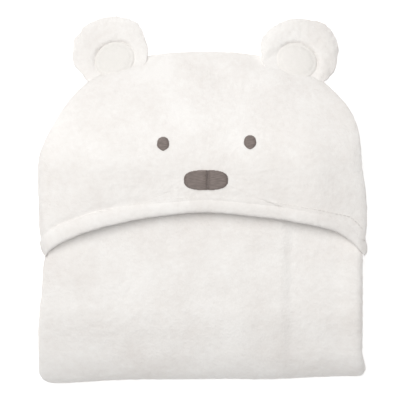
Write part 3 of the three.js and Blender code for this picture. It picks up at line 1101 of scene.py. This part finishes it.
def satin(node, power, parting=None, point_down=0.0):
    """Rows of threads across a patch. parting is where the two halves of a patch meet."""
    middle, half = patch_size(node)
    rows = int(2 * half[1] / THREAD_PITCH)
    threads = []
    for row in range(rows):
        v = (row + 0.5) / rows * 2 - 1
        reach = half[0] * (1 - abs(v) ** power) ** (1 / power)
        if v < 0:
            reach *= 1 - point_down * abs(v) ** 3
        y = middle[1] + v * half[1]
        uneven = UNEVEN_ENDS * noise.noise(Vector((row * 1.7, middle[0], 5.0)))
        stops = [-reach - uneven, reach + uneven]
        if parting is not None and reach > parting + 1:
            stops.insert(1, parting + uneven)
        rise = PAD_HEIGHT * math.sqrt(max(1 - v**4, 0.2))
        for half_index, (start_x, end_x) in enumerate(zip(stops[:-1], stops[1:])):
            start_x += PARTING_GAP * half_index
            ends = [middle[0] + start_x, middle[0] + end_x]
            ends = [(x, y, float(face_top(x, y)) + 0.15) for x in ends]
            threads.append((*ends, THREAD_RADIUS, rise))
    return sew(node + "_satin", threads, embroidery)


def thread_pad(node, power, parting=None):
    """The low dome under the threads, so no cloth shows between them. It dips at a parting."""
    middle, half = patch_size(node)
    angles = np.linspace(0, 2 * math.pi, 97)
    shares = np.sin(np.linspace(0, math.pi / 2, 25))[:, None]
    c, s = np.cos(angles), np.sin(angles)
    x = middle[0] + shares * (half[0] - PAD_INSET) * squarish(c, 2 / power)
    y = middle[1] + shares * (half[1] - PAD_INSET) * squarish(s, 2 / power)
    top = face_top(x, y) + 0.1 + 0.8 * PAD_HEIGHT * np.sqrt(np.clip(1 - shares**2, 0, 1))
    if parting is not None:
        top -= PARTING_DEPTH * bell(x, middle[0] + parting, PARTING_WIDTH)
    upper = np.stack([x, y, top], axis=2)
    lower = np.stack([x, y, face_top(x, y) - 1.0], axis=2)
    piece = grid_sheet(node + "_thread_pad", np.concatenate([upper, lower[::-1]]), closed=True)
    only(piece)
    bpy.ops.object.shade_smooth()
    piece.data.materials.append(embroidery)
    return piece


eye_left = satin("eye_left", 2.3, point_down=0.45)
eye_right = satin("eye_right", 2.3, point_down=0.45)
nose = satin("nose", 2.8, parting=NOSE_PARTING)
thread_pads = [thread_pad("eye_left", 2.0), thread_pad("eye_right", 2.0)]
thread_pads.append(thread_pad("nose", 2.8, NOSE_PARTING))

# %% [markdown]
# ## The ears
# An ear is two pieces of plush sewn together, turned and filled with wadding, so it is a real
# cushion: thin at its seam and fat between. A disc of shorter pile is stitched on its front, and
# the stitches hold the middle back, so the filling swells into a rim round it. That swelling is
# what the Cloth modifier makes well. A thin slab in the ear's outline is remeshed evenly and
# blown up from inside, while its base and the place of the disc are held.
#
# Each ear is made lying flat about its own fold line, with X along the line and Y outwards, and
# is put in its place at the end. The two outlines differ a little, because sewn ears do.

# %% The ears' outlines
EAR_CENTRE = 15.0
EAR_TILT = math.radians(9.8)
EAR_MIDDLE_Z = -7.0
SLAB_HALF = 3.2
EAR_BASE_Y = -8.0
EAR_OUTLINES = {
    "left": [
        (-20, 36.4), (0, 37.2), (20, 40.1), (30, 40.7), (50, 39.2), (70, 37.6), (90, 36.9), (110, 37.8),
        (130, 37.8), (150, 36.0), (170, 35.2), (190, 32.3), (215, 32), (250, 30), (290, 30), (325, 35),
    ],
    "right": [
        (-20, 34.7), (0, 36.5), (20, 37.0), (35, 39.0), (60, 39.8), (80, 39.4), (100, 36.6), (120, 36.2),
        (140, 36.4), (160, 37.6), (180, 38.2), (200, 36.6), (215, 35), (250, 30), (290, 30), (325, 33),
    ],
}
DISCS = {"left": (2.5, 9.5, 18.8, 16.4), "right": (0.5, 9.6, 19.0, 16.4)}


def ear_reach(side, degrees):
    """How far an ear's outline is from its centre in a direction."""
    angles, reach = zip(*EAR_OUTLINES[side])
    return np.interp(degrees, angles, reach, period=360)


def disc_share(side, points):
    """0 at the middle of the disc and 1 on its edge."""
    u, v, half_u, half_v = DISCS[side]
    return np.hypot((points[:, 0] - u) / half_u, (points[:, 1] - v) / half_v)


def ear_place(side):
    """From the ear's own millimetres to the frame."""
    joint = next(j for j in frame["joints"] if j["name"] == f"ear_{side}_fold")
    x_axis = Vector(joint["axis"]).normalized()
    level = Vector((0, 0, 1)).cross(x_axis)
    y_axis = level * math.cos(EAR_TILT) - Vector((0, 0, 1)) * math.sin(EAR_TILT)
    turn = Matrix([x_axis, y_axis, x_axis.cross(y_axis)]).transposed()
    return Matrix.Translation(joint["pos_m"]) @ turn.to_4x4() @ Matrix.Scale(MM, 4)


# %% Blow up a pad
VOXEL = 1.9
FRAMES = 20
PLUSH_CLOTH = {
    "quality": 6,
    "mass": 0.25,
    "tension_stiffness": 12,
    "compression_stiffness": 12,
    "shear_stiffness": 6,
    "bending_stiffness": 0.6,
    "use_pressure": True,
    "uniform_pressure_force": 5.5,
}
MOST_MOVE = 8.0


def blow_up(piece, held):
    """Fills a pad with the Cloth modifier. held has a weight of 1 where a point may not move."""
    only(piece)
    group = piece.vertex_groups.new(name="held")
    for index in np.flatnonzero(held > 0):
        group.add([int(index)], float(held[index]), "REPLACE")
    before = coordinates(piece)
    modifier = piece.modifiers.new("filling", "CLOTH")
    for key, value in PLUSH_CLOTH.items():
        setattr(modifier.settings, key, value)
    modifier.settings.vertex_group_mass = group.name
    modifier.settings.effector_weights.gravity = 0
    modifier.point_cache.frame_start = 1
    modifier.point_cache.frame_end = FRAMES
    for step in range(1, FRAMES + 1):
        bpy.context.scene.frame_set(step)
    bpy.ops.object.modifier_apply(modifier=modifier.name)
    bpy.context.scene.frame_set(1)
    move = coordinates(piece) - before
    far = np.linalg.norm(move, axis=1)[:, None]
    most = MOST_MOVE * MM
    move *= most * np.tanh(far / most) / np.maximum(far, 1e-9)
    place_points(piece, before + move)
    piece.vertex_groups.clear()
    print(piece.name, f"swelled by up to {np.linalg.norm(move, axis=1).max() / MM:.1f} mm")


# %% The pad of an ear
def ear_slab(side):
    """The flat start of the pad: a disc in the ear's outline, remeshed evenly."""
    bpy.ops.object.select_all(action="DESELECT")
    bpy.ops.mesh.primitive_cylinder_add(vertices=96, radius=1, depth=2)
    piece = bpy.context.object
    rename(piece, f"ear_{side}_pad")
    points = coordinates(piece)
    degrees = np.degrees(np.arctan2(points[:, 1], points[:, 0]))
    reach = ear_reach(side, degrees)
    flat = np.empty_like(points)
    flat[:, 0] = reach * points[:, 0]
    flat[:, 1] = np.maximum(EAR_CENTRE + reach * points[:, 1], EAR_BASE_Y)
    flat[:, 2] = EAR_MIDDLE_Z + SLAB_HALF * points[:, 2]
    place_points(piece, flat * MM)
    piece.data.remesh_voxel_size = VOXEL * MM
    bpy.ops.object.voxel_remesh()
    return piece


def disc_depth(y):
    """How far the disc lies back, which is most at the top of the ear."""
    return 2.0 * smooth_step(y, -2, 26)


def fit_outline(points, side):
    """Spreads a pad evenly in each direction until it reaches its outline again."""
    x, y = points[:, 0], points[:, 1] - EAR_CENTRE
    degrees = np.degrees(np.arctan2(y, x))
    distance = np.hypot(x, y)
    middles = np.arange(-180, 180, 12)
    grow = []
    for middle in middles:
        near = np.abs((degrees - middle + 180) % 360 - 180) < 8
        wanted = ear_reach(side, middle) if not -155 < middle < -25 else distance[near].max()
        grow.append(wanted / distance[near].max())
    factor = np.interp(degrees, middles, grow, period=360)
    factor = 1 + (factor - 1) * smooth_step(distance, 12, 28)
    points[:, 0] *= factor
    points[:, 1] = EAR_CENTRE + y * factor
    return points


def ear_pad(side):
    """A filled ear with a groove where its disc is stitched on."""
    piece = ear_slab(side)
    points = coordinates(piece) / MM
    front = points[:, 2] > EAR_MIDDLE_Z
    in_disc = front & (disc_share(side, points) < 0.93)
    at_base = points[:, 1] < EAR_BASE_Y + 3
    blow_up(piece, np.where(in_disc | at_base, 1.0, 0.0))
    use(piece, "SUBSURF", levels=1, render_levels=1)
    points = fit_outline(coordinates(piece) / MM, side)
    share = disc_share(side, points)
    away = (share - 1) * DISCS[side][2]
    front = smooth_step(points[:, 2], EAR_MIDDLE_Z, EAR_MIDDLE_Z + SLAB_HALF)
    groove = 0.5 + 1.9 * smooth_step(points[:, 1], 6, 24)
    points[:, 2] -= front * groove * bell(away, 0, 2.0)
    points[:, 2] -= front * disc_depth(points[:, 1]) * (1 - smooth_step(share, 0.85, 1.1))
    place_points(piece, points * MM)
    print(piece.name, f"{np.ptp(points[:, 2]):.1f} mm thick")
    return piece


ear_pads = {side: ear_pad(side) for side in ("left", "right")}

# %% [markdown]
# The disc lies on the held part of the pad. It is a fan of rings that follows the pad's front,
# a little domed, and tucked into the groove at its edge.


# %% The discs
DISC_RINGS = 16
DISC_PLY = 1.8
DISC_DOME = 1.8
RING_DEPTH = 0.6
LOWEST = 0.8


def ear_disc(side):
    """The short-pile disc on the front of a pad."""
    u, v, half_u, half_v = DISCS[side]
    angles = np.linspace(0, 2 * math.pi, 97)
    shares = np.sin(np.linspace(0, math.pi / 2, DISC_RINGS + 1))[:, None]
    x = u + half_u * shares * np.cos(angles)
    y = np.maximum(v + half_v * shares * np.sin(angles), EAR_BASE_Y - 1)
    z = EAR_MIDDLE_Z + SLAB_HALF + DISC_PLY - disc_depth(y) + DISC_DOME * (1 - shares**2)
    z -= 1.3 * shares**8
    z -= RING_DEPTH * bell(shares, 0.84, 0.05)
    points = np.stack([x, y, z], axis=2)
    piece = grid_sheet(f"ear_{side}_disc", points, closed=True)
    place_points(piece, coordinates(piece) - np.array([0, FOLD_Y, 0]))
    return piece


ear_discs = {side: ear_disc(side) for side in ear_pads}
for side in ("left", "right"):
    place = ear_place(side)
    for piece in (ear_pads[side], ear_discs[side]):
        piece.data.transform(Matrix(place) @ Matrix.Scale(1 / MM, 4))
        points = coordinates(piece)
        points[:, 2] = np.maximum(points[:, 2], LOWEST * MM)
        place_points(piece, points)
    raise_pile(ear_pads[side], 1.1)
    finish_plush(ear_pads[side], plush, 80)
    make_plush_ply(ear_discs[side], lining, DISC_PLY - 0.2, pile_mm=0.5)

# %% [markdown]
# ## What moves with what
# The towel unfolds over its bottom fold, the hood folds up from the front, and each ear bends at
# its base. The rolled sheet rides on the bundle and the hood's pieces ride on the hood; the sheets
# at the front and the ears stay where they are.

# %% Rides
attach(rolled_sheet, "bundle")
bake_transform(bottom_fold_sheet)
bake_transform(front_sheet)
for piece in (hood_face, hood_back, hood_hem, hem_stitches, eye_left, eye_right, nose, *thread_pads):
    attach(piece, "hood")
for side in ("left", "right"):
    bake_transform(ear_pads[side])
    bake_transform(ear_discs[side])

# %% What each piece stands for
STANDS_FOR = {
    rolled_sheet: ("back_section", "tail_section", "inner_section"),
    bottom_fold_sheet: ("front_section",),
    front_sheet: ("neck_section",),
    hood_face: ("hood_face_panel", "hood_edge_seam"),
    hood_back: ("hood_back_panel",),
    hood_hem: ("hood_hem",),
    hem_stitches: ("hem_stitching",),
    eye_left: ("eye_left",),
    eye_right: ("eye_right",),
    nose: ("nose",),
}
for piece, nodes in STANDS_FOR.items():
    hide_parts(*nodes)
for side in ("left", "right"):
    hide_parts(f"ear_{side}_front", f"ear_{side}_wadding", f"ear_{side}_back")
    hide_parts(f"ear_{side}_lining")

# %% The sheets' cut sizes and the pads
stretches = {rolled_sheet: roll_stations, bottom_fold_sheet: fold_stations, front_sheet: front_stations}
for piece, stations in stretches.items():
    under = [] if piece is rolled_sheet else [rolled_sheet]
    flat = (float(flat_width * MM), float(path_length(stations) * MM))
    print(piece.name, "was cut", [round(side, 3) for side in flat])
on_face = [hood_hem, hem_stitches, eye_left, eye_right, nose, *thread_pads]
for piece, flat, area, under, going in (
    (hood_face, face_flat, face_area, front_sheet, on_face),
    (hood_back, back_flat, back_area, rolled_sheet, []),
):
    flat = tuple(float(side * MM) for side in flat)
for side in ("left", "right"):
    half_u, half_v = DISCS[side][2:]
    flat = (2 * half_u * MM, 2 * half_v * MM)
